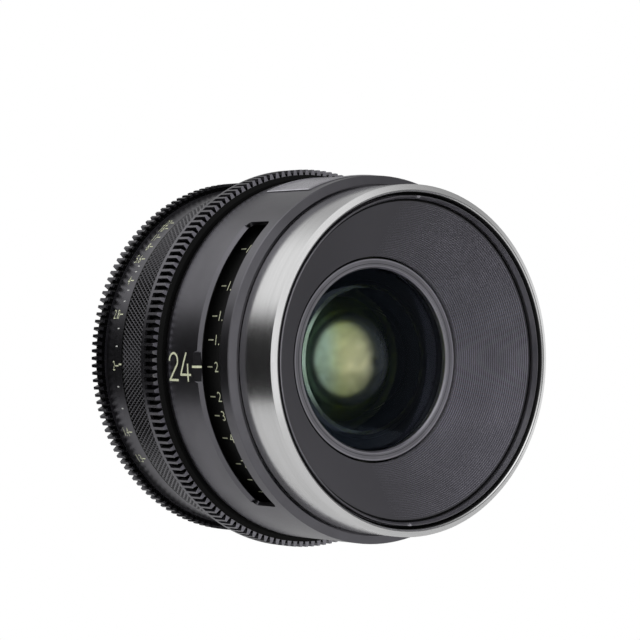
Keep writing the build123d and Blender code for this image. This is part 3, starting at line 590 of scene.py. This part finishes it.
def inkFinish(name):
    material, tree, shader = startFinish(name)
    place, radius, depth, angle = lensPlaces(tree)
    grain = speckle(tree, place, 2500.0, 2.0)
    faded = tuple(part * 0.82 for part in inks[name])
    shade = blendColours(tree, spread(tree, grain, 0.35, 0.7, 0, 1), inks[name], faded)
    feed(tree, shader, "Base Color", shade)
    feed(tree, shader, "Roughness", spread(tree, grain, 0.3, 0.7, 0.45, 0.6))
    return material


inkOf = {name: inkFinish(name) for name in inks}


# vertices and faces of a number, upright and starting at zero, in mm
def flatNumber(number, height, narrow):
    curve = bpy.data.curves.new("number", "FONT")
    curve.body = number
    curve.size = height / 0.70
    curve.resolution_u = 3
    curve.offset = -0.012 * height
    holder = bpy.data.objects.new("number", curve)
    bpy.context.scene.collection.objects.link(holder)
    mesh = bpy.data.meshes.new_from_object(holder.evaluated_get(bpy.context.evaluated_depsgraph_get()))
    points = [(vertex.co.x * narrow, vertex.co.y) for vertex in mesh.vertices]
    faces = [tuple(face.vertices) for face in mesh.polygons]
    bpy.data.objects.remove(holder)
    left = min(point[0] for point in points)
    low = min(point[1] for point in points)
    high = max(point[1] for point in points)
    return [(x - left, y - (low + high) / 2) for x, y in points], faces


# gathers numbers and lines for one drum and rolls them round it as one piece
class MarkSheet:

    def __init__(self, name, radius, body, slot, ink):
        self.name, self.radius, self.body, self.slot, self.ink = name, radius, body, slot, ink
        self.points, self.faces = [], []

    def roll(self, across, up, depth, angle, radius=None):
        base = radius or self.radius
        return onBarrel(base + text["relief"], depth - across, angle - math.degrees(up / base))

    def number(self, number, height, narrow, rearDepth, angle):
        points, faces = flatNumber(number, height, narrow)
        start = len(self.points)
        self.points += [self.roll(x, y, rearDepth, angle) for x, y in points]
        self.faces += [tuple(start + corner for corner in face) for face in faces]

    def width(self, number, height, narrow):
        points, faces = flatNumber(number, height, narrow)
        return max(point[0] for point in points)

    # an even line through places given as depth and angle, in steps short enough to follow the drum
    def stroke(self, places, width):
        corners = [Vector((depth, math.radians(angle) * self.radius)) for depth, angle in places]
        flat = corners[:1]
        for first, last in zip(corners, corners[1:]):
            steps = max(1, round((last - first).length / text["step"]))
            flat += [first.lerp(last, count / steps) for count in range(1, steps + 1)]
        start = len(self.points)
        for count, place in enumerate(flat):
            before, after = flat[max(count - 1, 0)], flat[min(count + 1, len(flat) - 1)]
            side = (after - before).normalized().orthogonal() * width / 2
            for spot in (place - side, place + side):
                self.points.append(self.roll(0, 0, spot.x, math.degrees(spot.y / self.radius)))
        for count in range(len(flat) - 1):
            corner = start + 2 * count
            self.faces.append((corner, corner + 2, corner + 3, corner + 1))

    def line(self, rearDepth, frontDepth, width, angle, radii=None):
        first, last = radii or (self.radius, self.radius)
        start = len(self.points)
        for depth, radius in ((rearDepth, first), (frontDepth, last)):
            for side in (-0.5, 0.5):
                self.points.append(self.roll(0, side * width, depth, angle, radius))
        self.faces.append((start, start + 2, start + 3, start + 1))

    def finish(self):
        mesh = bpy.data.meshes.new(self.name)
        mesh.from_pydata(self.points, [], self.faces)
        mesh.validate()
        piece = bpy.data.objects.new(self.name, mesh)
        bpy.context.scene.collection.objects.link(piece)
        for polygon in mesh.polygons:
            centre = polygon.center
            if polygon.normal.dot(Vector((centre.x, 0, centre.z))) < 0:
                polygon.flip()
        mesh.materials.append(self.ink)
        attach(piece, self.body)
        return piece


# focus scale: each distance in metres sits at an angle that falls off as the lens focuses closer
focusScale = {
    "distances": ("15", "7", "4", "3", "2.5", "2", "1.7", "1.5", "1.3", "1.1", "0.9", "0.8", "0.7", "0.6",
                  "0.5", "0.45", "0.42", "0.4", "0.39"),
    "infinityAngle": 230.5, "throwPerMetre": 93.5, "nearShift": 0.073, "narrow": 1.0,
    "drum": 55.5, "lineRear": 37.7, "lineFront": 34.9, "numberRear": 33.7, "height": 3.4, "lineWidth": 0.42,
}


def focusAngle(distance):
    return focusScale["infinityAngle"] - focusScale["throwPerMetre"] / (distance - focusScale["nearShift"])


def makeFocusScale():
    look = focusScale
    ink = inkOf["scaleYellow"]
    sheet = MarkSheet("focus_scale_marks", look["drum"], "focus_ring", "dark_anodised", ink)
    for distance in look["distances"]:
        angle = focusAngle(float(distance))
        sheet.line(look["lineRear"], look["lineFront"], look["lineWidth"], angle)
        sheet.number(distance, look["height"], look["narrow"], look["numberRear"], angle)
    sheet.line(look["lineRear"], look["lineFront"], look["lineWidth"], look["infinityAngle"])
    sheet.number("00", look["height"] * 0.6, look["narrow"], look["numberRear"], look["infinityAngle"])
    sheet.finish()


# aperture scale, read from the photo, with third-stop ticks
irisScale = {
    "stops": {"1.3": 215.5, "1.4": 205.1, "2": 182.3, "2.8": 165.2, "4": 153.2, "5.6": 144.8, "8": 139.6,
              "11": 135.3, "16": 131.0, "22": 128.0},
    "drum": 58.3, "lineRear": 88.2, "lineFront": 86.3, "lineWidth": 0.42,
    "numberGap": 0.25, "height": 3.3, "narrow": 0.62,
    "ticks": (147.7, 149.9, 156.8, 160.7, 170.0, 175.9, 189.3, 196.7), "tickRear": 88.0, "tickFront": 86.9,
}


def makeIrisScale():
    look = irisScale
    sheet = MarkSheet("iris_scale_marks", look["drum"], "iris_ring", "dark_anodised", inkOf["scaleYellow"])
    for stop, angle in look["stops"].items():
        sheet.line(look["lineRear"], look["lineFront"], look["lineWidth"], angle)
        rear = look["lineRear"] + look["numberGap"] + sheet.width(stop, look["height"], look["narrow"])
        sheet.number(stop, look["height"], look["narrow"], rear, angle)
    sheet.finish()
    ticks = MarkSheet("iris_scale_ticks", look["drum"], "iris_ring", "dark_anodised", inkOf["tickWhite"])
    for angle in look["ticks"]:
        ticks.line(look["tickRear"], look["tickFront"], look["lineWidth"], angle)
    ticks.finish()


# fixed marks on the barrel: the focal length in thin strokes, the line on the ramp and the aperture index
fixedMarks = {
    "barrel": 60.5, "angle": 181.8, "strokeWidth": 0.72,
    "two": {"middle": 49.8, "halfWidth": 2.35, "top": 177.75, "shoulder": 180.1, "foot": 186.0},
    "four": {"top": (42.6, 177.5), "corner": (45.7, 184.3), "barEnd": (39.9, 184.3),
             "stem": (41.7, 180.9), "foot": (41.7, 186.35)},
    "lineRear": 39.1, "lineFront": 35.3, "lineRadii": (60.55, 59.36), "lineWidth": 0.75,
    "indexRear": 85.85, "indexFront": 84.2, "indexWidth": 0.55, "indexRadii": (58.45, 58.45),
}


def makeFixedMarks():
    look = fixedMarks
    sheet = MarkSheet("barrel_marks", look["barrel"], "barrel", "gunmetal", inkOf["scaleYellow"])
    two, four = look["two"], look["four"]
    bow = []
    for turn in range(0, 211, 15):
        bend = math.radians(180 - turn)
        depth = two["middle"] - two["halfWidth"] * math.cos(bend)
        bow.append((depth, two["shoulder"] - (two["shoulder"] - two["top"]) * math.sin(bend)))
    rear, front = two["middle"] + two["halfWidth"], two["middle"] - two["halfWidth"]
    sheet.stroke(bow + [(rear, two["foot"])], look["strokeWidth"])
    sheet.stroke([(rear + 0.35, two["foot"]), (front - 0.2, two["foot"])], look["strokeWidth"])
    sheet.stroke([four["top"], four["corner"]], look["strokeWidth"])
    sheet.stroke([(four["corner"][0] + 0.35, four["corner"][1]), four["barEnd"]], look["strokeWidth"])
    sheet.stroke([four["stem"], four["foot"]], look["strokeWidth"])
    sheet.line(look["lineRear"], look["lineFront"], look["lineWidth"], look["angle"], look["lineRadii"])
    sheet.line(look["indexRear"], look["indexFront"], look["indexWidth"], look["angle"], look["indexRadii"])
    sheet.finish()


makeFocusScale()
makeIrisScale()
makeFixedMarks()
print("marks laid")


# studio: pale floor below the held lens, and a bright room with three darker sides
studio = {
    "floorHeight": -0.20, "floorRadius": 0.65, "floorColour": grey(0.94), "floorWorn": grey(0.92),
    "room": grey(0.88), "sides": (
        {"towards": (-0.6, 0.8, 0.0), "level": grey(0.012), "from": -0.02, "to": 0.35,
         "height": -0.035, "low": 0.23, "high": 0.42},
        {"towards": (0.75, -0.66, 0.0), "level": grey(0.20), "from": 0.70, "to": 0.90,
         "height": 0.0, "low": 0.45, "high": 0.60},
        {"towards": (0.5, 0.25, 0.83), "level": grey(0.34), "from": 0.60, "to": 0.85,
         "height": 0.0, "low": 2.0, "high": 3.0},
    ),
    "topLamp": 3.0, "topSize": 1.6, "topPlace": (-0.5, -0.5, 1.3),
}


def makeStudio():
    size, spot = studio["floorRadius"], (0, -0.06, studio["floorHeight"])
    bpy.ops.mesh.primitive_circle_add(vertices=96, radius=size, fill_type="NGON", location=spot)
    floor = bpy.context.object
    floor.name = "floor"
    material, tree, shader = startFinish("floor_paint")
    place = add(tree, "ShaderNodeTexCoord").outputs["Object"]
    grain = speckle(tree, place, 60.0, 3.0)
    worn = spread(tree, grain, 0.3, 0.7, 0, 1)
    feed(tree, shader, "Base Color", blendColours(tree, worn, studio["floorColour"], studio["floorWorn"]))
    tune(shader, rough=0.6)
    floor.data.materials.append(material)

    world = bpy.data.worlds.new("room")
    bpy.context.scene.world = world
    world.use_nodes = True
    tree = world.node_tree
    tree.nodes.clear()
    direction = add(tree, "ShaderNodeTexCoord").outputs["Generated"]
    parts = add(tree, "ShaderNodeSeparateXYZ", {"Vector": direction})
    room = add(tree, "ShaderNodeRGB").outputs[0]
    room.default_value = (*studio["room"], 1.0)
    for side in studio["sides"]:
        steep = calc(tree, "ABSOLUTE", calc(tree, "SUBTRACT", parts.outputs[2], side["height"]))
        height = spread(tree, steep, side["low"], side["high"], 1, 0, smooth=True)
        near = add(tree, "ShaderNodeVectorMath", {0: direction, 1: side["towards"]}, operation="DOT_PRODUCT")
        near = near.outputs["Value"]
        share = spread(tree, near, side["from"], side["to"], 0, 1, smooth=True)
        room = blendColours(tree, calc(tree, "MULTIPLY", height, share), room, side["level"])
    path = add(tree, "ShaderNodeLightPath").outputs
    seen = calc(tree, "MAXIMUM", path["Is Camera Ray"], path["Is Transmission Ray"])
    shown = blendColours(tree, seen, room, grey(1.0))
    background = add(tree, "ShaderNodeBackground", {"Color": shown, "Strength": 1.0})
    output = add(tree, "ShaderNodeOutputWorld")
    tree.links.new(background.outputs[0], output.inputs["Surface"])

    data = bpy.data.lights.new("top_box", "AREA")
    data.energy = studio["topLamp"]
    data.size = studio["topSize"]
    lamp = bpy.data.objects.new("top_box", data)
    lamp.location = studio["topPlace"]
    lamp.rotation_euler = (Vector((0, -0.06, 0)) - lamp.location).to_track_quat("-Z", "Y").to_euler()
    bpy.context.scene.collection.objects.link(lamp)


makeStudio()
bpy.context.scene.view_settings.view_transform = "Standard"
print("studio lit")
